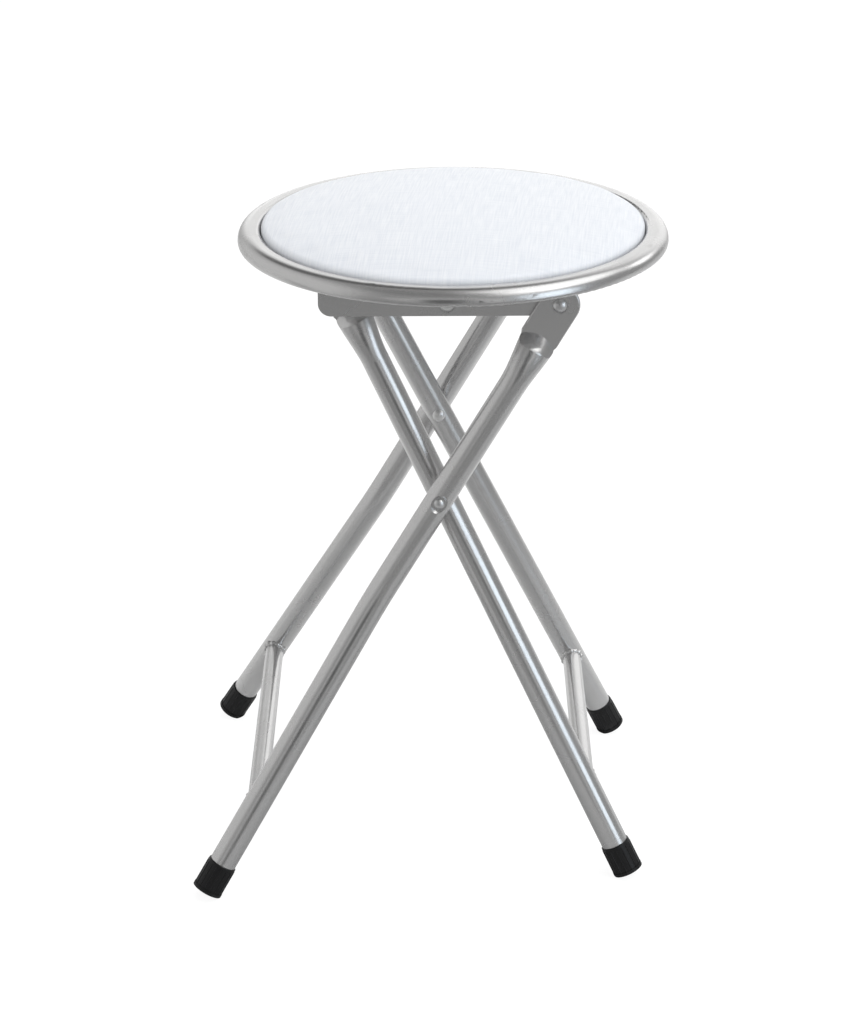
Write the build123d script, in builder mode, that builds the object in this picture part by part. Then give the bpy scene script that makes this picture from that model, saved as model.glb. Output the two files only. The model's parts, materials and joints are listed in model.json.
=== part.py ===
from build123d import *
from math import atan, cos, hypot, radians, sin, sqrt, tan
import os

os.makedirs("parts", exist_ok=True)

# Everything is in millimetres. X runs along the seat rails, Y across the stool, Z up from the floor.
# The front of the stool is towards -Y. Rear pieces are mirror images of front ones.

# Seat pan: a sheet steel tray with a rolled rim
seat_radius = 150.0
pan_sheet = 1.2
rim_width = 15.8
pan_corner = 2.5
rim_top_z = 452.0
recess_depth = 13.15
rim_depth = 11.0
rim_inner_roll = 3.0
rim_outer_roll = 8.3
rim_hem = 2.0

# Pad: plywood board, foam and a vinyl cover drawn round both
pad_gap = 1.0
pad_rise = 16.0
crown_fall = 11.4
pad_shoulder = 5.0
pad_heel = 4.0
cover_sheet = 1.0
cover_flap = 24.0
board_inset = 5.2
board_thickness = 8.0
board_edge = 2.0
foam_gap = 0.2
stack_gap = 0.1

# Seat rails: two steel angles under the pan
rail_sheet = 1.6
rail_length = 174.0
rail_end_margin = 11.1
rail_drop = 8.0
rail_shelf = 44.0
rail_corner = 8.8
rail_bend = 3.0
screw_offset_x = 55.0
screw_y = 66.0
screw_diameter = 4.0
screw_head_diameter = 8.0
screw_head_height = 2.2
screw_edge = 1.1
screw_slot_width = 0.9
screw_slot_length = 4.0
screw_bite = 6.5

# Legs
tube_diameter = 19.0
tube_wall = 1.2
cross_z = 284.2
cross_offset_x = -10.3
outer_face_y = 87.7
outer_foot_y = 145.0
bend_z = 208.0
bend_radius = 170.0
inner_foot_y = 115.6
inner_plate_back = 3.1
plate_width = 27.5
plate_thickness = 3.0
plate_fold = 1.45
plate_tail = 10.0
outer_nose = 24.6
inner_nose = 13.0
nose_radius = 19.5
nose_slope = radians(57)
swell_height = 11.0
swell_inset = 0.4
nose_crest = 10.3
crest_slope = radians(32)
nose_brow = 10.0
nose_start = 2.6
fade_length = 42.0
fade_sections = 5
dimple_depth = 2.0
dimple_radius = 4.9
dimple_slope = 45.0

# Crossbars, foot caps and pivots
bar_diameter = 14.0
bar_wall = 1.0
outer_bar_z = 66.0
inner_bar_z = 70.0
weld_gap = 0.05
cap_radius = 10.4
cap_length = 23.0
cap_floor = 3.0
cap_bead = 0.5
cap_bead_height = 2.4
cap_ribs = 16
cap_rib = 0.45
cap_lip = 0.6
foot_flat = 1.0
rivet_diameter = 6.0
pivot_head_diameter = 10.0
cross_head_diameter = 8.2
head_height = 2.6
head_seat = 0.4
head_ring = 0.5
tail_head_diameter = 9.0
tail_head_height = 2.0
washer_diameter = 11.0
washer_thickness = 1.5
washer_room = 1.07
link_offset_x = -4.5
link_span = 72.0
link_width = 22.0
link_thickness = 3.0
axle_diameter = 7.0
axle_head_diameter = 10.4
axle_head_height = 2.4
sleeve_diameter = 12.0

# Clearances
running_fit = 0.08
seat_fit = 0.05
side_gap = 0.3
washer_gap = 0.1

# Sizes that follow from the ones above
tube_radius = tube_diameter / 2
bore_radius = tube_radius - tube_wall
rivet_radius = rivet_diameter / 2
axle_radius = axle_diameter / 2
plate_radius = plate_width / 2
recess_radius = seat_radius - rim_width
pad_radius = recess_radius - pad_gap
board_radius = pad_radius - board_inset
pad_crown_z = rim_top_z + pad_rise
rim_bottom_z = rim_top_z - rim_depth

# Heights from the rim down: pan floor, rail shelf, pivots
pan_top = rim_top_z - recess_depth
pan_z = pan_top - pan_sheet
shelf_z = pan_z - rail_sheet
pivot_z = shelf_z - side_gap - plate_radius
rail_bottom_z = pivot_z - rail_drop

# Each pair of legs runs from its pivots under the seat through the crossing to the floor
pivot_height = pivot_z - cross_z
outer_pivot_offset = link_offset_x + rail_length / 2 - rail_end_margin
inner_pivot_offset = link_offset_x - link_span
outer_tilt = atan((outer_pivot_offset - cross_offset_x) / pivot_height)
inner_tilt = atan((cross_offset_x - inner_pivot_offset) / pivot_height)
outer_cross_s = pivot_height / cos(outer_tilt)
inner_cross_s = pivot_height / cos(inner_tilt)
outer_knee = (pivot_z - bend_z) / cos(outer_tilt)
outer_splay = atan((outer_foot_y - outer_face_y - tube_radius) / (bend_z / cos(outer_tilt)))
outer_fall = cos(outer_splay) * cos(outer_tilt)
inner_cross_y = outer_face_y - washer_gap - washer_thickness - washer_room - tube_radius
inner_splay = atan((inner_foot_y - inner_cross_y) / (cross_z / cos(inner_tilt)))
inner_fall = cos(inner_splay) * cos(inner_tilt)
inner_axis_y = inner_cross_y - inner_cross_s * tan(inner_splay)
inner_face_y = inner_axis_y - inner_plate_back
outer_foot_z = cap_radius * sqrt(1 - outer_fall**2) - foot_flat
inner_foot_z = cap_radius * sqrt(1 - inner_fall**2) - foot_flat

# The seat axis stands off the origin so that the origin is the middle of the footprint box
foot_reach = cross_offset_x - (cross_z - outer_foot_z) * tan(outer_tilt)
foot_reach -= (cap_radius + cap_bead) * sqrt(1 - (cos(outer_splay) * sin(outer_tilt))**2)
seat_x = -(foot_reach + seat_radius) / 2
cross_x = seat_x + cross_offset_x
link_x = seat_x + link_offset_x
seat_pivot_x = seat_x + outer_pivot_offset
inner_pivot_x = seat_x + inner_pivot_offset
rail_face_y = outer_face_y - side_gap
link_face_y = inner_face_y - side_gap

# Working planes at the front pivots: X down the leg, Y outwards, Z across the leg
outer_plane = Plane((seat_pivot_x, -outer_face_y, pivot_z),
                    x_dir=(-sin(outer_tilt), 0, -cos(outer_tilt)),
                    z_dir=(-cos(outer_tilt), 0, sin(outer_tilt)))
inner_plane = Plane((inner_pivot_x, -inner_face_y, pivot_z),
                    x_dir=(sin(inner_tilt), 0, -cos(inner_tilt)),
                    z_dir=(-cos(inner_tilt), 0, -sin(inner_tilt)))
seat_plane = Plane((seat_x, 0, 0), x_dir=(1, 0, 0), z_dir=(0, -1, 0))
seat_axis = Axis((seat_x, 0, 0), (0, 0, 1))

# Routes of the round tubes, from where they are full round to the soles of their caps
outer_fade = outer_nose - nose_start + fade_length
outer_length = (bend_z - outer_foot_z) / outer_fall
outer_route = [
    (outer_fade, tube_radius),
    (outer_knee, tube_radius),
    (outer_knee + outer_length * cos(outer_splay), tube_radius + outer_length * sin(outer_splay)),
]
inner_fade = inner_nose - nose_start + fade_length
inner_length = (pivot_z - inner_foot_z) / inner_fall
inner_route = [
    (inner_fade, inner_plate_back + inner_fade * tan(inner_splay)),
    (inner_length * cos(inner_splay), inner_plate_back + inner_length * sin(inner_splay)),
]


def shortened(route, amount):
    """The same route, ending a little above the sole of the foot cap."""
    (x0, y0), (x1, y1) = route[-2], route[-1]
    length = hypot(x1 - x0, y1 - y0)
    return route[:-1] + [(x1 - (x1 - x0) * amount / length, y1 - (y1 - y0) * amount / length)]


def rod(plane, route, radius):
    """A round bar along a route, with one easy bend where the route has a knee."""
    with BuildPart() as body:
        with BuildLine(plane) as run:
            if len(route) > 2:
                FilletPolyline(*route, radius=bend_radius)
            else:
                Line(*route)
        with BuildSketch(Plane(run.line @ 0, z_dir=run.line % 0)):
            Circle(radius)
        sweep(path=run.line)
    return body.part


def pressed_section(plane, half_width, low, high):
    """A pressed tube's section: half an ellipse below its widest line and half a taller one above."""
    with BuildSketch(plane) as section:
        with BuildLine():
            EllipticalCenterArc((0, low), half_width, high, 0, arc_size=180)
            EllipticalCenterArc((0, low), half_width, low, 180, arc_size=180)
        make_face()
    return section.sketch.face()


def swelling(plane, nose, route):
    """The stretch from the pressed plate to the round tube, before the press squares off its nose."""
    (x0, y0), (x1, y1) = route[0], route[1]
    lean = atan((y1 - y0) / (x1 - x0))
    first_x = nose - nose_start
    last_x = x0 + tube_radius * sin(lean)
    last_y = y0 - tube_radius * cos(lean)
    sections = []
    for i in range(fade_sections):
        share = i / (fade_sections - 1)
        spread = share**2 * (3 - 2 * share)
        half_width = tube_radius + (plate_radius - swell_inset - tube_radius) * (1 - spread)
        eased = 1 - (1 - share)**2
        height = swell_height + (tube_diameter - swell_height) * eased
        widest = plate_thickness / 2 + (tube_radius - plate_thickness / 2) * eased
        back = plane.from_local_coords((first_x + (last_x - first_x) * share, last_y * spread, 0))
        down = plane.x_dir * cos(lean * spread) + plane.y_dir * sin(lean * spread)
        sections.append(pressed_section(Plane(back, x_dir=plane.z_dir, z_dir=-down), half_width,
                                        widest, height - widest))
    with BuildPart() as body:
        loft(sections=sections)
    return body.part


def nose_cut(plane, nose):
    """What the press takes off above the plate: all but a round nose with a steep slope and an eased brow."""
    face = Plane(plane.origin, x_dir=plane.x_dir, z_dir=plane.y_dir)
    middle = plane.from_local_coords((nose + nose_radius, plate_thickness, 0))
    section = Plane(middle, x_dir=-plane.x_dir, z_dir=-plane.z_dir)
    brow_r = nose_radius - nose_crest / tan(nose_slope)
    crown = nose_crest + brow_r * tan(crest_slope)
    reach = nose_radius + nose_start
    with BuildPart() as cut:
        with BuildSketch(face.offset(plate_thickness)):
            with Locations((nose + nose_radius - reach / 2, 0)):
                Rectangle(reach, 2 * plate_width)
        extrude(amount=tube_diameter)
        with BuildSketch(section):
            with BuildLine():
                FilletPolyline((nose_radius, 0), (brow_r, nose_crest), (0, crown), radius=nose_brow)
                Polyline((0, crown), (0, 0), (nose_radius, 0))
            make_face()
        revolve(axis=Axis(middle, plane.y_dir), mode=Mode.SUBTRACT)
    return cut.part


def pressed_plate(plane, nose):
    """The flat end of a leg: round at the pivot, folded edges, running in under the nose."""
    face = Plane(plane.origin, x_dir=plane.x_dir, z_dir=plane.y_dir)
    tail = nose + nose_start
    tail_end = tail + plate_tail
    with BuildPart() as plate:
        with BuildSketch(face):
            Circle(plate_radius)
            with Locations((tail / 2, 0)):
                Rectangle(tail, plate_width)
            Polygon((tail, plate_radius), (tail, -plate_radius), (tail_end, -tube_radius),
                    (tail_end, tube_radius), align=None)
        extrude(amount=plate_thickness)
        outline = plate.faces().filter_by(Axis.Y).edges()
        fold = [e for e in outline if plane.to_local_coords(e.center()).X < tail_end - plate_fold]
        fillet(fold, radius=plate_fold)
    return plate.part


def leg(plane, route, nose, cross_s, cuts):
    """A tube with its top pressed flat, drilled for its pivots and sunk a little round the rivet's head."""
    face = Plane(plane.origin, x_dir=plane.x_dir, z_dir=plane.y_dir)
    tube = rod(plane, shortened(route, cap_floor), tube_radius)
    shoulder = swelling(plane, nose, route)
    nose_waste = nose_cut(plane, nose)
    plate = pressed_plate(plane, nose)
    with BuildPart() as body:
        add(shoulder)
        add(nose_waste, mode=Mode.SUBTRACT)
        add(plate)
        add(tube)
        for cut in cuts:
            add(cut, mode=Mode.SUBTRACT)
        with BuildSketch(face.offset(plate_thickness - head_seat)):
            Circle(pivot_head_diameter / 2 + head_ring)
        extrude(amount=plate_thickness, mode=Mode.SUBTRACT)
        with BuildSketch(face):
            Circle(rivet_radius + seat_fit)
        extrude(amount=plate_thickness * 2, both=True, mode=Mode.SUBTRACT)
        with BuildSketch(face):
            with Locations((cross_s, 0)):
                Circle(rivet_radius + running_fit)
        extrude(amount=plate_width * 2, both=True, mode=Mode.SUBTRACT)
    return body


def dimple_plug(plane, cross_s, depth, radius):
    """The cone that a punch presses into the outside of a tube round the crossing rivet."""
    face = Plane(plane.origin, x_dir=plane.x_dir, z_dir=plane.y_dir)
    with BuildPart() as plug:
        with BuildSketch(face.offset(tube_diameter - depth)):
            with Locations((cross_s, 0)):
                Circle(radius)
        extrude(amount=tube_radius, taper=-dimple_slope)
    return plug.part


def dome_middle(diameter, height):
    """The point halfway along the arc of a domed head, from its rim to its top."""
    half = diameter / 2
    radius = (half**2 + height**2) / (2 * height)
    turn = atan(half / (radius - height)) / 2
    return radius * sin(turn), height - radius + radius * cos(turn)


def rivet(centre, length, diameter, front_head, rear_head):
    """A rivet along Y: a domed head towards the front, a shank, and a domed head at the rear.

    Each head is a pair of diameter and height, or None where the shank ends plain.
    """
    half = diameter / 2
    with BuildPart() as body:
        with BuildSketch(Plane(centre, x_dir=(1, 0, 0), z_dir=(0, 0, 1))):
            with Locations((half / 2, length / 2)):
                Rectangle(half, length)
        revolve(axis=Axis(centre, (0, 1, 0)))
        for head, foot, out in ((front_head, 0, -1), (rear_head, length, 1)):
            if head:
                wide, high = head
                mid_r, mid_h = dome_middle(wide, high)
                with BuildSketch(Plane(centre, x_dir=(1, 0, 0), z_dir=(0, 0, 1))):
                    with BuildLine():
                        Line((0, foot), (wide / 2, foot))
                        ThreePointArc((wide / 2, foot), (mid_r, foot + out * mid_h), (0, foot + out * high))
                        Line((0, foot + out * high), (0, foot))
                    make_face()
                revolve(axis=Axis(centre, (0, 1, 0)))
    return body


def foot_cap(plane, route):
    """A ribbed plastic cup pushed over the tube's end, with a small flat where it meets the floor."""
    (x0, y0), (x1, y1) = route[-2], route[-1]
    sole = plane.from_local_coords((x1, y1, 0))
    up = plane.from_local_coords((x0, y0, 0)) - sole
    base = Plane(sole, x_dir=plane.z_dir, z_dir=up)
    with BuildPart() as cap:
        with BuildSketch(base):
            Circle(cap_radius)
        extrude(amount=cap_length)
        fillet(cap.faces().sort_by(Axis(sole, up))[-1].edges(), radius=cap_lip)
        with BuildSketch(base):
            Circle(cap_radius + cap_bead)
        extrude(amount=cap_bead_height)
        with BuildSketch(base.offset(cap_bead_height)):
            with PolarLocations(cap_radius, cap_ribs):
                RegularPolygon(cap_rib, 4)
        extrude(amount=cap_length - 2 * cap_bead_height)
        with BuildSketch(base.offset(cap_floor)):
            Circle(tube_radius + seat_fit)
        extrude(amount=cap_length, mode=Mode.SUBTRACT)
        split(bisect_by=Plane.XY, keep=Keep.TOP)
    return cap


def crossbar(x, z, half_span, front_rod, rear_rod):
    """A round tube between two legs, its ends coped to sit on them."""
    with BuildPart() as bar:
        with BuildSketch(Plane((x, 0, z), x_dir=(1, 0, 0), z_dir=(0, 1, 0))):
            Circle(bar_diameter / 2)
            Circle(bar_diameter / 2 - bar_wall, mode=Mode.SUBTRACT)
        extrude(amount=half_span, both=True)
        add(front_rod, mode=Mode.SUBTRACT)
        add(rear_rod, mode=Mode.SUBTRACT)
    return bar


def mirrored(piece):
    """The rear twin of a front piece."""
    with BuildPart() as twin:
        mirror(piece.part, about=Plane.XZ)
    return twin


def keep(piece, name):
    """Names a finished piece and writes it to its own file."""
    piece.part.label = name
    export_step(piece.part, "parts/" + name + ".step")


# Legs, with a dimple in the outer ones round the crossing rivet
dimple = dimple_plug(outer_plane, outer_cross_s, dimple_depth, dimple_radius)
dimple_back = dimple_plug(outer_plane, outer_cross_s, dimple_depth + tube_wall,
                          dimple_radius + tube_wall / 2)
with BuildPart() as outer_bore:
    add(rod(outer_plane, outer_route, bore_radius))
    add(dimple_back, mode=Mode.SUBTRACT)

outer_leg_front = leg(outer_plane, outer_route, outer_nose, outer_cross_s, [outer_bore.part, dimple])
outer_leg_rear = mirrored(outer_leg_front)
inner_bore = rod(inner_plane, inner_route, bore_radius)
inner_leg_front = leg(inner_plane, inner_route, inner_nose, inner_cross_s, [inner_bore])
inner_leg_rear = mirrored(inner_leg_front)
keep(outer_leg_front, "outer_leg_front")
keep(outer_leg_rear, "outer_leg_rear")
keep(inner_leg_front, "inner_leg_front")
keep(inner_leg_rear, "inner_leg_rear")

# Foot caps
outer_foot_front = foot_cap(outer_plane, outer_route)
outer_foot_rear = mirrored(outer_foot_front)
inner_foot_front = foot_cap(inner_plane, inner_route)
inner_foot_rear = mirrored(inner_foot_front)
keep(outer_foot_front, "outer_foot_front")
keep(outer_foot_rear, "outer_foot_rear")
keep(inner_foot_front, "inner_foot_front")
keep(inner_foot_rear, "inner_foot_rear")

# Crossbars, coped against the tubes' outsides
outer_cope = rod(outer_plane, outer_route, tube_radius + weld_gap)
inner_cope = rod(inner_plane, inner_route, tube_radius + weld_gap)
outer_bar_x = cross_x - (cross_z - outer_bar_z) * tan(outer_tilt)
inner_bar_x = cross_x + (cross_z - inner_bar_z) * tan(inner_tilt)
outer_bar_y = outer_face_y + tube_radius + (bend_z - outer_bar_z) / cos(outer_tilt) * tan(outer_splay)
inner_bar_y = inner_axis_y + (pivot_z - inner_bar_z) / cos(inner_tilt) * tan(inner_splay)
outer_crossbar = crossbar(outer_bar_x, outer_bar_z, outer_bar_y,
                          outer_cope, mirror(outer_cope, about=Plane.XZ))
inner_crossbar = crossbar(inner_bar_x, inner_bar_z, inner_bar_y,
                          inner_cope, mirror(inner_cope, about=Plane.XZ))
keep(outer_crossbar, "outer_crossbar")
keep(inner_crossbar, "inner_crossbar")

# Crossing pivots: a rivet from the dimple of the outer tube to the inside of the inner tube
tube_slope = tan(inner_splay) * cos(inner_tilt)
tail_step = tail_head_diameter / 2 * tube_slope + seat_fit
cross_tail_y = inner_cross_y - tube_radius / cos(inner_splay) - tail_step
cross_head_y = outer_face_y + tube_diameter - dimple_depth
crossing_rivet_front = rivet((cross_x, -cross_head_y, cross_z), cross_head_y - cross_tail_y,
                             rivet_diameter, (cross_head_diameter, head_height),
                             (tail_head_diameter, tail_head_height))
crossing_rivet_rear = mirrored(crossing_rivet_front)
keep(crossing_rivet_front, "crossing_rivet_front")
keep(crossing_rivet_rear, "crossing_rivet_rear")

with BuildPart() as crossing_washer_front:
    with BuildSketch(Plane((cross_x, -(outer_face_y - washer_gap), cross_z), z_dir=(0, 1, 0))):
        Circle(washer_diameter / 2)
        Circle(rivet_radius + seat_fit, mode=Mode.SUBTRACT)
    extrude(amount=washer_thickness)
crossing_washer_rear = mirrored(crossing_washer_front)
keep(crossing_washer_front, "crossing_washer_front")
keep(crossing_washer_rear, "crossing_washer_rear")

# Seat pivots: a rivet through the outer leg's plate and the rail's flange
seat_head_y = outer_face_y + plate_thickness - head_seat
seat_tail_y = rail_face_y - rail_sheet - side_gap
seat_pivot_rivet_front = rivet((seat_pivot_x, -seat_head_y, pivot_z), seat_head_y - seat_tail_y,
                               rivet_diameter, (pivot_head_diameter, head_height),
                               (tail_head_diameter, tail_head_height))
seat_pivot_rivet_rear = mirrored(seat_pivot_rivet_front)
keep(seat_pivot_rivet_front, "seat_pivot_rivet_front")
keep(seat_pivot_rivet_rear, "seat_pivot_rivet_rear")

# Link pivots at the inner legs: the leg's half of the rivet, and the link's half
leg_head_y = inner_face_y + plate_thickness - head_seat
link_rivet_front = rivet((inner_pivot_x, -leg_head_y, pivot_z), plate_thickness - head_seat,
                         rivet_diameter, (pivot_head_diameter, head_height), None)
link_rivet_rear = mirrored(link_rivet_front)
link_stud_front = rivet((inner_pivot_x, -link_face_y, pivot_z), link_thickness, rivet_diameter,
                        None, (pivot_head_diameter, tail_head_height))
link_stud_rear = mirrored(link_stud_front)
keep(link_rivet_front, "link_rivet_front")
keep(link_rivet_rear, "link_rivet_rear")
keep(link_stud_front, "link_stud_front")
keep(link_stud_rear, "link_stud_rear")

# Links: flat bars from the axle between the rails to the tops of the inner legs
link_middle = (link_x + inner_pivot_x) / 2
with BuildPart() as link_front:
    with BuildSketch(Plane((link_middle, -link_face_y, pivot_z), x_dir=(1, 0, 0), z_dir=(0, 1, 0))):
        SlotCenterToCenter(link_span, link_width)
        with Locations((link_span / 2, 0)):
            Circle(axle_radius + running_fit, mode=Mode.SUBTRACT)
        with Locations((-link_span / 2, 0)):
            Circle(rivet_radius + seat_fit, mode=Mode.SUBTRACT)
    extrude(amount=link_thickness)
link_rear = mirrored(link_front)
keep(link_front, "link_front")
keep(link_rear, "link_rear")

# Axle across the rails, and the sleeve that holds the links apart on it
axle_head = (axle_head_diameter, axle_head_height)
axle_reach = rail_face_y - head_seat + seat_fit
link_axle = rivet((link_x, -axle_reach, pivot_z), 2 * axle_reach, axle_diameter, axle_head, axle_head)
keep(link_axle, "link_axle")

with BuildPart() as axle_sleeve:
    with BuildSketch(Plane((link_x, 0, pivot_z), x_dir=(1, 0, 0), z_dir=(0, 1, 0))):
        Circle(sleeve_diameter / 2)
        Circle(axle_radius + running_fit, mode=Mode.SUBTRACT)
    extrude(amount=link_face_y - link_thickness - seat_fit, both=True)
keep(axle_sleeve, "axle_sleeve")

# Rails: an angle with a deep flange for the pivots and a shelf that the inner legs come up against
screw_spots = [(link_x + sx * screw_offset_x, sy * screw_y) for sx in (-1, 1) for sy in (-1, 1)]
shelf_edge_y = rail_face_y - rail_shelf
bend_y = -rail_face_y + rail_bend
bend_top = pan_z - rail_bend
with BuildPart() as rail_front:
    with BuildSketch(Plane((link_x - rail_length / 2, 0, 0), x_dir=(0, 1, 0), z_dir=(1, 0, 0))):
        with BuildLine():
            Line((-rail_face_y, rail_bottom_z), (-rail_face_y, bend_top))
            CenterArc((bend_y, bend_top), rail_bend, 180, -90)
            Line((bend_y, pan_z), (-shelf_edge_y, pan_z))
            Line((-shelf_edge_y, pan_z), (-shelf_edge_y, shelf_z))
            Line((-shelf_edge_y, shelf_z), (bend_y, shelf_z))
            CenterArc((bend_y, bend_top), rail_bend - rail_sheet, 90, 90)
            Line((-rail_face_y + rail_sheet, bend_top), (-rail_face_y + rail_sheet, rail_bottom_z))
            Line((-rail_face_y + rail_sheet, rail_bottom_z), (-rail_face_y, rail_bottom_z))
        make_face()
    extrude(amount=rail_length)
    corners = rail_front.edges().filter_by(Axis.Y).group_by(Axis.Z)[0]
    fillet(corners, radius=rail_corner)
    with BuildSketch(Plane((link_x, -rail_face_y, pivot_z), x_dir=(1, 0, 0), z_dir=(0, -1, 0))):
        Circle(axle_radius + seat_fit)
        with Locations((seat_pivot_x - link_x, 0)):
            Circle(rivet_radius + running_fit)
    extrude(amount=-2 * rail_bend, mode=Mode.SUBTRACT)
    with BuildSketch(Plane((link_x, -rail_face_y, pivot_z), x_dir=(1, 0, 0), z_dir=(0, -1, 0))):
        Circle(axle_head_diameter / 2 + head_ring)
    extrude(amount=-head_seat, mode=Mode.SUBTRACT)
    with BuildSketch(Plane((0, 0, shelf_z))):
        with Locations(*[spot for spot in screw_spots if spot[1] < 0]):
            Circle(screw_diameter / 2 + seat_fit)
    extrude(amount=rail_sheet, mode=Mode.SUBTRACT)
rail_rear = mirrored(rail_front)
keep(rail_front, "rail_front")
keep(rail_rear, "rail_rear")

# Seat pan: floor, recess wall, rolled rim and a small hem, one sheet thickness all along
wall_foot = pan_top + pan_corner
crest = recess_radius + rim_inner_roll
crest_z = rim_top_z - rim_inner_roll
brow = seat_radius - rim_outer_roll
brow_z = rim_top_z - rim_outer_roll
hem_z = rim_bottom_z + rim_hem
hem_r = seat_radius - rim_hem
with BuildPart() as seat_pan:
    with BuildSketch(seat_plane):
        with BuildLine():
            Line((0, pan_top), (recess_radius - pan_corner, pan_top))
            CenterArc((recess_radius - pan_corner, wall_foot), pan_corner, -90, 90)
            Line((recess_radius, wall_foot), (recess_radius, crest_z))
            CenterArc((crest, crest_z), rim_inner_roll, 180, -90)
            Line((crest, rim_top_z), (brow, rim_top_z))
            CenterArc((brow, brow_z), rim_outer_roll, 90, -90)
            Line((seat_radius, brow_z), (seat_radius, hem_z))
            CenterArc((hem_r, hem_z), rim_hem, 0, -90)
            Line((hem_r, rim_bottom_z), (hem_r, rim_bottom_z + pan_sheet))
            CenterArc((hem_r, hem_z), rim_hem - pan_sheet, -90, 90)
            Line((seat_radius - pan_sheet, hem_z), (seat_radius - pan_sheet, brow_z))
            CenterArc((brow, brow_z), rim_outer_roll - pan_sheet, 0, 90)
            Line((brow, rim_top_z - pan_sheet), (crest, rim_top_z - pan_sheet))
            CenterArc((crest, crest_z), rim_inner_roll - pan_sheet, 90, 90)
            Line((recess_radius + pan_sheet, crest_z), (recess_radius + pan_sheet, wall_foot))
            CenterArc((recess_radius - pan_corner, wall_foot), pan_corner + pan_sheet, 0, -90)
            Line((recess_radius - pan_corner, pan_z), (0, pan_z))
            Line((0, pan_z), (0, pan_top))
        make_face()
    revolve(axis=seat_axis)
    with BuildSketch(Plane((0, 0, pan_z))):
        with Locations(*screw_spots):
            Circle(screw_diameter / 2 + seat_fit)
    extrude(amount=pan_sheet, mode=Mode.SUBTRACT)
keep(seat_pan, "seat_pan")

# Pad. Cover and foam share one crown; each lies a set depth inside the cover's outside
flap_z = pan_top + stack_gap
board_z = flap_z + cover_sheet + stack_gap
board_top = board_z + board_thickness
shoulder_r = pad_radius - pad_shoulder
shoulder_z = pad_crown_z - crown_fall - pad_shoulder
crown_radius = pad_shoulder + (shoulder_r**2 + crown_fall**2) / (2 * crown_fall)
crown_centre = pad_crown_z - crown_radius
heel_r = pad_radius - pad_heel
flap_r = heel_r - cover_flap
heel_z = flap_z + pad_heel


def crown_point(depth, share):
    """A point on the crown, a depth inside the outside; share runs from 0, the top, to 1, the shoulder."""
    full = atan(shoulder_r / (shoulder_z - crown_centre))
    radius = crown_radius - depth
    return (radius * sin(full * share), crown_centre + radius * cos(full * share))


def shoulder_point(depth):
    """The middle of the rounded shoulder between the crown and the pad's side."""
    full = atan(shoulder_r / (shoulder_z - crown_centre))
    half = (radians(90) + full) / 2
    radius = pad_shoulder - depth
    return (shoulder_r + radius * sin(half), shoulder_z + radius * cos(half))


with BuildPart() as seat_board:
    with BuildSketch(Plane((seat_x, 0, board_z))):
        Circle(board_radius)
    extrude(amount=board_thickness)
    fillet(seat_board.edges().filter_by(GeomType.CIRCLE), radius=board_edge)
    with BuildSketch(Plane((0, 0, board_z))):
        with Locations(*screw_spots):
            Circle(screw_diameter / 2 + seat_fit)
    extrude(amount=screw_bite + stack_gap, mode=Mode.SUBTRACT)
keep(seat_board, "seat_board")

foam_depth = cover_sheet + foam_gap
foam_z = board_top + stack_gap
with BuildPart() as seat_foam:
    with BuildSketch(seat_plane):
        with BuildLine():
            ThreePointArc(crown_point(foam_depth, 0), crown_point(foam_depth, 0.5),
                          crown_point(foam_depth, 1))
            ThreePointArc(crown_point(foam_depth, 1), shoulder_point(foam_depth),
                          (pad_radius - foam_depth, shoulder_z))
            Line((pad_radius - foam_depth, shoulder_z), (pad_radius - foam_depth, foam_z))
            Line((pad_radius - foam_depth, foam_z), (0, foam_z))
            Line((0, foam_z), crown_point(foam_depth, 0))
        make_face()
    revolve(axis=seat_axis)
keep(seat_foam, "seat_foam")

with BuildPart() as seat_cover:
    with BuildSketch(seat_plane):
        with BuildLine():
            ThreePointArc(crown_point(0, 0), crown_point(0, 0.5), crown_point(0, 1))
            ThreePointArc(crown_point(0, 1), shoulder_point(0), (pad_radius, shoulder_z))
            Line((pad_radius, shoulder_z), (pad_radius, heel_z))
            CenterArc((heel_r, heel_z), pad_heel, 0, -90)
            Line((heel_r, flap_z), (flap_r, flap_z))
            Line((flap_r, flap_z), (flap_r, flap_z + cover_sheet))
            Line((flap_r, flap_z + cover_sheet), (heel_r, flap_z + cover_sheet))
            CenterArc((heel_r, heel_z), pad_heel - cover_sheet, -90, 90)
            Line((pad_radius - cover_sheet, heel_z), (pad_radius - cover_sheet, shoulder_z))
            ThreePointArc((pad_radius - cover_sheet, shoulder_z), shoulder_point(cover_sheet),
                          crown_point(cover_sheet, 1))
            ThreePointArc(crown_point(cover_sheet, 1), crown_point(cover_sheet, 0.5),
                          crown_point(cover_sheet, 0))
            Line(crown_point(cover_sheet, 0), crown_point(0, 0))
        make_face()
    revolve(axis=seat_axis)
keep(seat_cover, "seat_cover")

# Screws from below, through shelf and pan into the board
with BuildPart() as seat_screws:
    with Locations(*[(x, y, shelf_z) for x, y in screw_spots]):
        Cylinder(screw_head_diameter / 2, screw_head_height,
                 align=(Align.CENTER, Align.CENTER, Align.MAX))
        Cylinder(screw_diameter / 2, board_z - shelf_z + screw_bite,
                 align=(Align.CENTER, Align.CENTER, Align.MIN))
    fillet(seat_screws.edges().filter_by(GeomType.CIRCLE).group_by(Axis.Z)[0], radius=screw_edge)
    with Locations(*[(x, y, shelf_z - screw_head_height) for x, y in screw_spots]):
        Box(screw_slot_length, screw_slot_width, screw_head_height, mode=Mode.SUBTRACT)
        Box(screw_slot_width, screw_slot_length, screw_head_height, mode=Mode.SUBTRACT)
keep(seat_screws, "seat_screws")
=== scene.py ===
import json
import math
import random

import bmesh
import bpy
from mathutils import Matrix, Vector, noise
from mathutils.bvhtree import BVHTree


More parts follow.
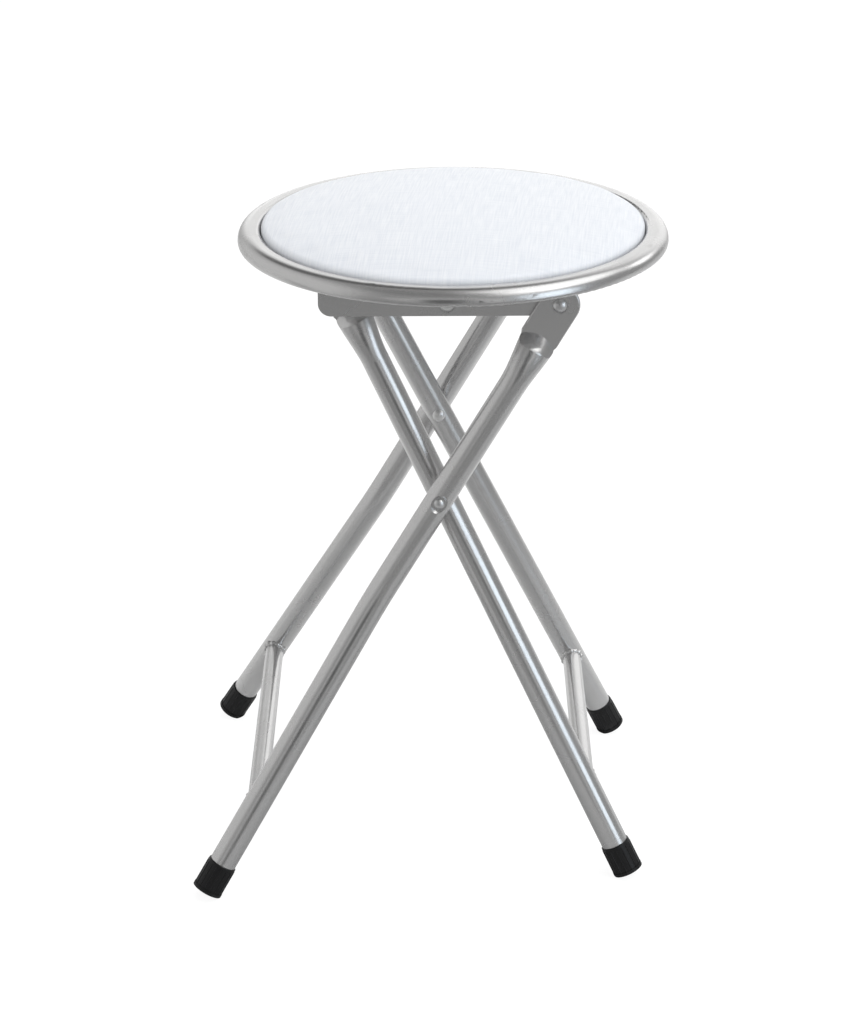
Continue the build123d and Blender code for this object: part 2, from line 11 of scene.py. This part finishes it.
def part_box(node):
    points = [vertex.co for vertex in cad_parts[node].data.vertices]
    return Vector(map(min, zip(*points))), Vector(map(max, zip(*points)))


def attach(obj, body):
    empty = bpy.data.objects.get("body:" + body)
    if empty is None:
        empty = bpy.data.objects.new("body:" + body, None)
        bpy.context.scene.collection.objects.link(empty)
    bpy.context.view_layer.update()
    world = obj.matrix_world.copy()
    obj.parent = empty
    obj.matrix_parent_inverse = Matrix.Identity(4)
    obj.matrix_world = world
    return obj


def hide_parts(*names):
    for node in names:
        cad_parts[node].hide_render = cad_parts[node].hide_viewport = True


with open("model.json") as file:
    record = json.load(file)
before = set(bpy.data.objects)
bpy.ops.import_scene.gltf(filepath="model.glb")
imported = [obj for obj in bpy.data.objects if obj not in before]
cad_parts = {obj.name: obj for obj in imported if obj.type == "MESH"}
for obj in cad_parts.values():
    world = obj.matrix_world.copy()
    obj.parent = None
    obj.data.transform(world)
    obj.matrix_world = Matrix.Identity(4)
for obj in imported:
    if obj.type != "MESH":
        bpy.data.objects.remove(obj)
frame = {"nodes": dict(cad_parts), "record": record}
nodes = frame["nodes"]
scene = bpy.context.scene
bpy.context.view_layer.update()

MM = 0.001
SEED = 7
random.seed(SEED)


# Node materials

# Ranges that most values of a noise fall in
NOISE_CORE = (0.35, 0.65)
NOISE_SPREAD = (0.3, 0.7)


class Nodes:
    """Builds the shader of a material or a world."""

    def __init__(self, owner, output):
        owner.use_nodes = True
        self.owner = owner
        self.tree = owner.node_tree
        self.tree.nodes.clear()
        self.out = self.add(output)

    def add(self, kind, inputs=None, **settings):
        """A node whose inputs, by name or number, are constants or the outputs of other nodes."""
        node = self.tree.nodes.new(kind)
        for key, value in settings.items():
            setattr(node, key, value)
        for key, value in (inputs or {}).items():
            if isinstance(value, bpy.types.NodeSocket):
                self.tree.links.new(value, node.inputs[key])
            else:
                node.inputs[key].default_value = value
        return node

    def math(self, operation, a, b):
        return self.add("ShaderNodeMath", {0: a, 1: b}, operation=operation).outputs[0]

    def mapped(self, value, low, high, to_low=0.0, to_high=1.0, curve="LINEAR"):
        """A value carried from one range to another and held inside it."""
        ends = {0: value, 1: low, 2: high, 3: to_low, 4: to_high}
        return self.add("ShaderNodeMapRange", ends, interpolation_type=curve).outputs[0]

    def mix(self, share, a, b):
        """A colour between two."""
        colours = {0: share, 6: (*a, 1), 7: (*b, 1)}
        return self.add("ShaderNodeMix", colours, data_type="RGBA").outputs[2]

    def coords(self):
        """Places on the object, in metres."""
        return self.add("ShaderNodeTexCoord").outputs["Object"]

    def stretched(self, places, scale):
        """Places scaled on each axis, so that a texture is drawn out along the least scaled one."""
        return self.add("ShaderNodeMapping", {"Vector": places, "Scale": scale}).outputs[0]

    def rotated(self, places, angle):
        """Places turned about the vertical."""
        return self.add("ShaderNodeMapping", {"Vector": places, "Rotation": (0, 0, angle)}).outputs[0]

    def along(self, places, axis):
        """One coordinate of each place."""
        return self.add("ShaderNodeSeparateXYZ", {0: places}).outputs[axis]

    def noise(self, places, scale, detail):
        values = {"Vector": places, "Scale": scale, "Detail": detail}
        return self.add("ShaderNodeTexNoise", values).outputs[0]

    def bump(self, height, strength, distance):
        values = {"Height": height, "Strength": strength, "Distance": distance}
        return self.add("ShaderNodeBump", values).outputs[0]

    def camera_sees(self, seen, otherwise):
        """One shader for the camera and another for all other rays."""
        camera = self.add("ShaderNodeLightPath").outputs["Is Camera Ray"]
        return self.add("ShaderNodeMixShader", {0: camera, 1: otherwise.outputs[0], 2: seen.outputs[0]})

    def finish(self, shader):
        self.tree.links.new(shader.outputs[0], self.out.inputs["Surface"])
        return self.owner

    def principled(self, inputs):
        return self.finish(self.add("ShaderNodeBsdfPrincipled", inputs))


def silver_paint(n):
    """Silver paint: fine metal flakes under a clear top, a faint orange peel, slight dulling in patches."""
    silver = (0.612, 0.608, 0.607)
    dark_flake, bright_flake = 0.9, 1.08
    rough, glossier, duller = 0.26, 0.03, 0.04
    where = n.coords()
    flakes = n.noise(where, scale=2600, detail=1)
    patches = n.noise(where, scale=24, detail=3)
    peel = n.noise(where, scale=420, detail=2)
    dark = [c * dark_flake for c in silver]
    bright = [c * bright_flake for c in silver]
    return n.principled({
        "Base Color": n.mix(n.mapped(flakes, *NOISE_CORE), dark, bright),
        "Metallic": 0.9,
        "Roughness": n.mapped(patches, *NOISE_SPREAD, rough - glossier, rough + duller),
        "Coat Weight": 0.25,
        "Coat Roughness": 0.12,
        "Normal": n.bump(peel, strength=0.05, distance=0.2 * MM),
    })


def bright_steel(n):
    """Zinc-plated steel: bright, with fine turning marks and soft grey stains."""
    plate = (0.80, 0.80, 0.79)
    stain = (0.62, 0.62, 0.63)
    stain_levels = (0.35, 0.7)
    where = n.coords()
    stains = n.noise(where, scale=160, detail=4)
    marks = n.noise(n.stretched(where, (1, 14, 1)), scale=700, detail=2)
    return n.principled({
        "Base Color": n.mix(n.mapped(stains, *stain_levels), plate, stain),
        "Metallic": 1.0,
        "Roughness": n.mapped(stains, *NOISE_SPREAD, 0.3, 0.42),
        "Normal": n.bump(marks, strength=0.08, distance=0.1 * MM),
    })


def black_plastic(n):
    """Moulded black plastic with a fine spark texture and paler scuffs near the floor."""
    black = (0.007, 0.007, 0.0075)
    scuffed = (0.04, 0.04, 0.041)
    scuffs_top = 12 * MM
    scuff_levels = (0.52, 0.75)
    where = n.coords()
    grain = n.noise(where, scale=1500, detail=2)
    scuffs = n.noise(where, scale=130, detail=4)
    low = n.mapped(n.along(where, "Z"), 0.0, scuffs_top, 1.0, 0.0)
    worn = n.math("MULTIPLY", low, n.mapped(scuffs, *scuff_levels))
    return n.principled({
        "Base Color": n.mix(worn, black, scuffed),
        "Roughness": n.mapped(grain, *NOISE_SPREAD, 0.34, 0.5),
        "Specular IOR Level": 0.3,
        "Normal": n.bump(grain, strength=0.15, distance=0.2 * MM),
    })


def white_nylon(n):
    """Milky nylon."""
    cloudy = (0.80, 0.80, 0.77)
    clear = (0.88, 0.88, 0.86)
    cloud = n.noise(n.coords(), scale=300, detail=2)
    return n.principled({"Base Color": n.mix(cloud, cloudy, clear), "Roughness": 0.5})


def plywood(n):
    """Birch ply with a faint grain along X."""
    late_wood = (0.55, 0.38, 0.22)
    early_wood = (0.72, 0.55, 0.36)
    grain = n.noise(n.stretched(n.coords(), (3, 60, 20)), scale=10, detail=4)
    return n.principled({"Base Color": n.mix(grain, late_wood, early_wood), "Roughness": 0.65})


def foam(n):
    """Open-cell foam."""
    hollow = (0.80, 0.76, 0.62)
    wall = (0.92, 0.90, 0.80)
    cells = n.noise(n.coords(), scale=900, detail=3)
    return n.principled({
        "Base Color": n.mix(cells, hollow, wall),
        "Roughness": 0.95,
        "Normal": n.bump(cells, strength=0.6, distance=0.6 * MM),
    })


def white_vinyl(n):
    """White vinyl embossed like linen: long fine threads one way, fainter ones across; its colour carries
    painted shade, darker in the grooves between the threads.
    """
    painted_groove_shade = (0.7, 0.727, 0.777)
    raised = (0.803, 0.82, 0.852)
    warp_share, weft_share = 0.65, 0.35
    slant = math.radians(5.5)
    where = n.rotated(n.coords(), slant)
    warp = n.noise(n.stretched(where, (900, 34, 0)), scale=1, detail=3)
    weft = n.noise(n.stretched(where, (30, 800, 0)), scale=1, detail=3)
    threads = n.math("ADD", n.math("MULTIPLY", warp, warp_share), n.math("MULTIPLY", weft, weft_share))
    return n.principled({
        # painted shade: the colour is darker where the threads sink, in the grooves between them, where
        # shade would fall
        "Base Color": n.mix(n.mapped(threads, *NOISE_CORE), painted_groove_shade, raised),
        "Roughness": n.mapped(threads, *NOISE_CORE, 0.52, 0.4),
        "Normal": n.bump(threads, strength=0.22, distance=0.4 * MM),
    })


def new_material(make):
    """A material with the name of the function that makes it."""
    return make(Nodes(bpy.data.materials.new(make.__name__), "ShaderNodeOutputMaterial"))


MATERIALS = (silver_paint, bright_steel, black_plastic, white_nylon, plywood, foam, white_vinyl)
looks = {make.__name__: new_material(make) for make in MATERIALS}


# CAD nodes: each has the look of its slot, and is shaded smooth with its real edges kept sharp

SHARP_FROM = math.radians(35)


def dress(obj, look):
    obj.data.materials.clear()
    obj.data.materials.append(looks[look])


def shade_smooth(mesh):
    mesh.polygons.foreach_set("use_smooth", [True] * len(mesh.polygons))


for part in frame["record"]["subparts"]:
    node = nodes[part["node"]]
    dress(node, part["material_slot"])
    shade_smooth(node.data)
    node.data.set_sharp_from_angle(angle=SHARP_FROM)


# Objects and meshes made here


def new_object(name, data):
    obj = bpy.data.objects.new(name, data)
    scene.collection.objects.link(obj)
    return obj


def bridge(bm, ring, after):
    """Faces between two rings with as many points."""
    for i in range(len(ring)):
        j = (i + 1) % len(ring)
        bm.faces.new((ring[i], after[i], after[j], ring[j]))


def finished(bm, name):
    """The mesh of a closed form, with its faces turned outwards."""
    bmesh.ops.recalc_face_normals(bm, faces=bm.faces)
    mesh = bpy.data.meshes.new(name)
    bm.to_mesh(mesh)
    bm.free()
    return mesh


# Pad: a closed cover that reaches over the rim's roll, blown up on its fixed base by cloth simulation

cover_low, cover_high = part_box("seat_cover")
SEAT_X = (cover_low.x + cover_high.x) / 2
PAD_R = (cover_high.x - cover_low.x) / 2
PAD_TOP = cover_high.z
PAD_BASE = cover_low.z

# Its form: it reaches further out than the solid, and its top starts lower, to be blown up
SHOULDER = 5.0 * MM
CROWN_FALL = 11.4 * MM
HEEL = 4.0 * MM
OVERHANG = 1.4 * MM
DRAWN_DOWN = 0.7 * MM
UNEVEN = 0.35 * MM
UNEVEN_PER_M = 22.0

# Steps of its mesh down the profile and round it
CROWN_STEPS = 26
SHOULDER_STEPS = 8
SIDE_STEPS = 3
HEEL_STEPS = 4
BASE_STEPS = 8
SEGMENTS = 120

# Its simulation
FIXED_HEIGHT = 5.0 * MM
MOST_SWELL = 1.0 * MM
PRESSURE = 4.0
CLOTH_QUALITY = 6
LAST_FRAME = 20

# The pan round it
RIM_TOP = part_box("seat_pan")[1].z
RIM_ROLL = 3.0 * MM
PAD_GAP = 1.0 * MM
RECESS_R = PAD_R + PAD_GAP
CLEAR = 0.3 * MM


def arc(centre_r, centre_z, radius, start, end, steps):
    """Points of a profile on an arc, from one angle off the vertical to another."""
    angles = [start + (end - start) * i / steps for i in range(steps + 1)]
    return [(centre_r + radius * math.sin(a), centre_z + radius * math.cos(a)) for a in angles]


def pad_profile():
    """Radii and heights from the crown, over the shoulder and down the side, to the underside."""
    rim = PAD_R + OVERHANG
    inner = rim - SHOULDER
    top = PAD_TOP - DRAWN_DOWN
    shoulder_z = top - CROWN_FALL - SHOULDER
    heel_z = PAD_BASE + HEEL
    crown = SHOULDER + (inner**2 + CROWN_FALL**2) / (2 * CROWN_FALL)
    centre = top - crown
    lean = math.atan2(inner, shoulder_z - centre)
    upright = math.pi / 2
    points = arc(0, centre, crown, 0, lean, CROWN_STEPS)[:-1]
    points += arc(inner, shoulder_z, SHOULDER, lean, upright, SHOULDER_STEPS)
    points += [(rim, shoulder_z + (heel_z - shoulder_z) * i / SIDE_STEPS) for i in range(1, SIDE_STEPS)]
    points += arc(rim - HEEL, heel_z, HEEL, upright, math.pi, HEEL_STEPS)
    points += [((rim - HEEL) * (1 - i / BASE_STEPS), PAD_BASE) for i in range(1, BASE_STEPS)]
    return points


def turned(name, profile):
    """A closed mesh of revolution about the seat's axis, from a point on top to a flat face below."""
    bm = bmesh.new()
    tip = bm.verts.new((SEAT_X, 0, profile[0][1]))
    angles = [2 * math.pi * i / SEGMENTS for i in range(SEGMENTS)]
    rings = []
    for r, z in profile[1:]:
        rings.append([bm.verts.new((SEAT_X + r * math.cos(a), r * math.sin(a), z)) for a in angles])
    for i in range(SEGMENTS):
        bm.faces.new((tip, rings[0][i], rings[0][(i + 1) % SEGMENTS]))
    for upper, lower in zip(rings, rings[1:]):
        bridge(bm, upper, lower)
    bm.faces.new(list(reversed(rings[-1])))
    return finished(bm, name)


def settled(obj):
    """The object's mesh with its modifiers worked in."""
    depsgraph = bpy.context.evaluated_depsgraph_get()
    return bpy.data.meshes.new_from_object(obj.evaluated_get(depsgraph))


def uneven(mesh):
    """Shallow rises and hollows, as filling and stretched vinyl have."""
    for vertex in mesh.vertices:
        if vertex.co.z > PAD_BASE + FIXED_HEIGHT:
            vertex.co.z += UNEVEN * noise.noise(vertex.co * UNEVEN_PER_M)


def blown_up(obj):
    """Cloth under pressure, fixed at its base; no point moves further than the foam would push it."""
    start = [v.co.copy() for v in obj.data.vertices]
    fixed = obj.vertex_groups.new(name="base")
    fixed.add([v.index for v in obj.data.vertices if v.co.z < PAD_BASE + FIXED_HEIGHT], 1.0, "REPLACE")
    cloth = obj.modifiers.new("cloth", "CLOTH")
    cloth.settings.quality = CLOTH_QUALITY
    cloth.settings.use_pressure = True
    cloth.settings.uniform_pressure_force = PRESSURE
    cloth.settings.effector_weights.gravity = 0
    cloth.settings.vertex_group_mass = "base"
    cloth.point_cache.frame_start = 1
    cloth.point_cache.frame_end = LAST_FRAME
    for step in range(1, LAST_FRAME + 1):
        scene.frame_set(step)
    mesh = settled(obj)
    obj.modifiers.clear()
    scene.frame_set(1)
    for vertex, rest in zip(mesh.vertices, start):
        move = vertex.co - rest
        if move.length > MOST_SWELL:
            move *= MOST_SWELL / move.length
        vertex.co = rest + move
    obj.vertex_groups.clear()
    obj.data = mesh


def room_at(z):
    """How far out the cover can reach at a height: to the pan's wall, or over the roll at its top."""
    up = max(0.0, min(RIM_ROLL, z - (RIM_TOP - RIM_ROLL)))
    return RECESS_R + RIM_ROLL - math.sqrt(RIM_ROLL**2 - up**2) - CLEAR


def inside_recess(mesh):
    """Keeps the cover clear of the pan."""
    for vertex in mesh.vertices:
        vertex.co.z = max(vertex.co.z, PAD_BASE)
        out = Vector((vertex.co.x - SEAT_X, vertex.co.y))
        room = room_at(vertex.co.z)
        if out.length > room:
            out *= room / out.length
            vertex.co.x, vertex.co.y = SEAT_X + out.x, out.y


pad = new_object("pad_cover", turned("pad_cover", pad_profile()))
uneven(pad.data)
blown_up(pad)
pad.modifiers.new("finer", "SUBSURF").levels = 1
pad.data = settled(pad)
pad.modifiers.clear()
inside_recess(pad.data)
shade_smooth(pad.data)
dress(pad, "white_vinyl")
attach(pad, "seat")
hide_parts("seat_cover", "seat_foam")


# Welds: a rippled bead round each end of the crossbars, laid where the bar meets its leg

BEAD_POINTS = 60
BEAD_SIDES = 10
BEAD_R = 1.9 * MM
DABS = 13
DAB_SIZES = (0.75, 1.2)
BETWEEN_DABS = 0.6
DAB_RISE = 0.6


def bead_line(bar, leg, toward):
    """Points round the bar's end, on the leg's surface, each with its direction out of the bar."""
    bar_low, bar_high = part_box(bar)
    middle = (bar_low + bar_high) / 2
    radius = (bar_high.z - bar_low.z) / 2
    skin = BVHTree.FromPolygons([v.co for v in nodes[leg].data.vertices],
                                [p.vertices for p in nodes[leg].data.polygons])
    line = []
    for i in range(BEAD_POINTS):
        a = 2 * math.pi * i / BEAD_POINTS
        start = Vector((middle.x + radius * math.cos(a), 0, middle.z + radius * math.sin(a)))
        hit = skin.ray_cast(start, Vector((0, toward, 0)))[0]
        line.append((hit, Vector((math.cos(a), 0, math.sin(a)))))
    return line


def weld(name, bar, leg, toward, body):
    """A closed bead whose thickness rises and falls with each dab of the torch."""
    line = bead_line(bar, leg, toward)
    sizes = [random.uniform(*DAB_SIZES) for _ in range(DABS)]
    bm = bmesh.new()
    rings = []
    for i, (point, out) in enumerate(line):
        along = (line[(i + 1) % len(line)][0] - line[i - 1][0]).normalized()
        side = along.cross(out).normalized()
        dab = i / len(line) * DABS
        lump = sizes[int(dab)] * (BETWEEN_DABS + DAB_RISE * abs(math.sin(math.pi * dab)))
        ring = []
        for k in range(BEAD_SIDES):
            b = 2 * math.pi * k / BEAD_SIDES
            ring.append(bm.verts.new(point + (out * math.cos(b) + side * math.sin(b)) * BEAD_R * lump))
        rings.append(ring)
    for i, ring in enumerate(rings):
        bridge(bm, ring, rings[(i + 1) % len(rings)])
    obj = new_object(name, finished(bm, name))
    shade_smooth(obj.data)
    dress(obj, "silver_paint")
    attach(obj, body)


for pair in ("outer", "inner"):
    for end, toward in (("front", -1), ("rear", 1)):
        weld(f"weld_{pair}_{end}", f"{pair}_crossbar", f"{pair}_leg_{end}", toward, f"{pair}_frame")


# Table: a white sheet under the stool

TABLE_SIDE = 3.0
TABLE_FRONT = -0.4
TABLE_BACK = 3.0
TABLE_DROP = 0.5 * MM
TABLE_GLOW = 0.9
SHADE_GREY = (0.2, 0.2, 0.2)
# painted light and shade on the sheet as the metal mirrors it: darker at the front, paler at the back
FRONT_GREY = (0.5, 0.5, 0.5)
BACK_GREY = (0.85, 0.85, 0.85)
FRONT_GREY_Y = -0.1
BACK_GREY_Y = 0.25


def table_white(n):
    """White to the camera, with a faint shadow left on it; to all else a matt sheet with painted light and
    shade, darker at the front and paler at the back.
    """
    glow = n.add("ShaderNodeEmission", {"Color": (1, 1, 1, 1), "Strength": TABLE_GLOW})
    shade = n.add("ShaderNodeBsdfDiffuse", {"Color": (*SHADE_GREY, 1)})
    seen = n.add("ShaderNodeAddShader", {0: glow.outputs[0], 1: shade.outputs[0]})
    # painted light and shade: the sheet's grey runs from dark at the front to pale at the back, standing in
    # for how light falls on it
    back = n.mapped(n.along(n.coords(), "Y"), FRONT_GREY_Y, BACK_GREY_Y)
    sheet = n.add("ShaderNodeBsdfDiffuse", {"Color": n.mix(back, FRONT_GREY, BACK_GREY)})
    return n.finish(n.camera_sees(seen, otherwise=sheet))


table_mesh = bpy.data.meshes.new("table")
table_mesh.from_pydata([(-TABLE_SIDE, TABLE_FRONT, 0), (TABLE_SIDE, TABLE_FRONT, 0),
                        (TABLE_SIDE, TABLE_BACK, 0), (-TABLE_SIDE, TABLE_BACK, 0)], [], [(0, 1, 2, 3)])
table_mesh.materials.append(new_material(table_white))
table = new_object("table", table_mesh)
table.location.z = -TABLE_DROP


# Studio: what the metal mirrors beyond the table, and the lamps

ROOM_LIGHT = 0.3
ROOM_COLOUR = (1, 1, 0.995, 1)
DARKEST = 0.04

# Each card: its direction, the half angles of its core and edge in degrees, and the light that it adds
CARDS = (
    ((-0.95, 0.12, 0.12), 28, 60, 0.4),
    ((0.55, 0.0, 0.83), 18, 32, 1.5),
    ((0.55, -0.45, 0.7), 10, 20, 1.0),
    ((0.76, 0.53, 0.37), 5, 13, 2.3),
    ((0.17, 0.94, 0.28), 14, 37, 0.97),
    ((-0.4, 0.9, 0.12), 10, 24, 0.2),
    ((-0.12, 0.72, 0.68), 12, 26, -0.6),
    ((0.0, -0.97, 0.12), 14, 30, 0.22),
    ((-0.05, -0.99, 0.06), 7, 20, -0.6),
    ((-0.42, -0.9, 0.08), 6, 16, 0.2),
    ((0.28, -0.95, 0.08), 5, 14, 0.25),
    ((-0.1, -0.3, 0.95), 20, 36, -0.1),
)


def studio():
    """The room as the object sees it: light and dark cards on a dim ground. The camera sees plain white."""
    scene.world = bpy.data.worlds.new("studio")
    n = Nodes(scene.world, "ShaderNodeOutputWorld")
    way = n.add("ShaderNodeTexCoord").outputs["Generated"]
    light = ROOM_LIGHT
    for aim, core, edge, added in CARDS:
        facing = {0: way, 1: Vector(aim).normalized()}
        dot = n.add("ShaderNodeVectorMath", facing, operation="DOT_PRODUCT").outputs["Value"]
        outer, inner = math.cos(math.radians(edge)), math.cos(math.radians(core))
        light = n.math("ADD", n.mapped(dot, outer, inner, 0.0, added, "SMOOTHSTEP"), light)
    level = n.math("MAXIMUM", light, DARKEST)
    room = n.add("ShaderNodeBackground", {"Color": ROOM_COLOUR, "Strength": level})
    white = n.add("ShaderNodeBackground", {"Color": (1, 1, 1, 1)})
    n.finish(n.camera_sees(white, otherwise=room))


def soft_box(name, place, aim, size, power, colour=(1, 1, 1), mirrored=True):
    """An area lamp; one that isn't mirrored lights the object without showing in its metal."""
    data = bpy.data.lights.new(name, "AREA")
    data.shape = "RECTANGLE"
    data.color = colour
    data.size, data.size_y = size
    data.energy = power
    lamp = new_object(name, data)
    lamp.location = place
    lamp.rotation_mode = "QUATERNION"
    lamp.rotation_quaternion = (Vector(aim) - Vector(place)).to_track_quat("-Z", "Y")
    lamp.visible_glossy = mirrored


studio()
soft_box("key", place=(1.54, -1.28, 0.6), aim=(0, 0, 0.28), size=(0.95, 1.2), power=6.2,
         colour=(0.8, 0.905, 1))
soft_box("top", place=(0.1, 0.1, 2.4), aim=(0, 0, 0.3), size=(1.6, 1.6), power=18, mirrored=False)
soft_box("front", place=(-0.3, -2.0, 1.5), aim=(0, 0, 0.45), size=(1.2, 1.2), power=9, mirrored=False)


# Camera: the photograph's, fitted to the feet, legs, crossing, rivets and rim, with its angles in radians

EYE = (SEAT_X - 0.01242, -1.96809, 1.05745)
YAW, PITCH, ROLL = 0.0041, -0.3954, -0.0054
FOCAL_PX, IMAGE_H = 2943.3, 1020
SENSOR = 36.0


def photo_camera():
    """A camera that looks towards the back, turned by YAW, tipped by PITCH and rolled by ROLL."""
    forward = Vector((-math.sin(YAW) * math.cos(PITCH), math.cos(YAW) * math.cos(PITCH), math.sin(PITCH)))
    level = Vector((math.cos(YAW), math.sin(YAW), 0))
    upright = level.cross(forward)
    right = level * math.cos(ROLL) + upright * math.sin(ROLL)
    up = upright * math.cos(ROLL) - level * math.sin(ROLL)
    data = bpy.data.cameras.new("camera")
    data.sensor_fit = "AUTO"
    data.sensor_width = SENSOR
    data.lens = SENSOR * FOCAL_PX / IMAGE_H
    camera = new_object("camera", data)
    camera.matrix_world = Matrix.Translation(EYE) @ Matrix((right, up, -forward)).transposed().to_4x4()
    scene.camera = camera


photo_camera()
scene.view_settings.view_transform = "Standard"
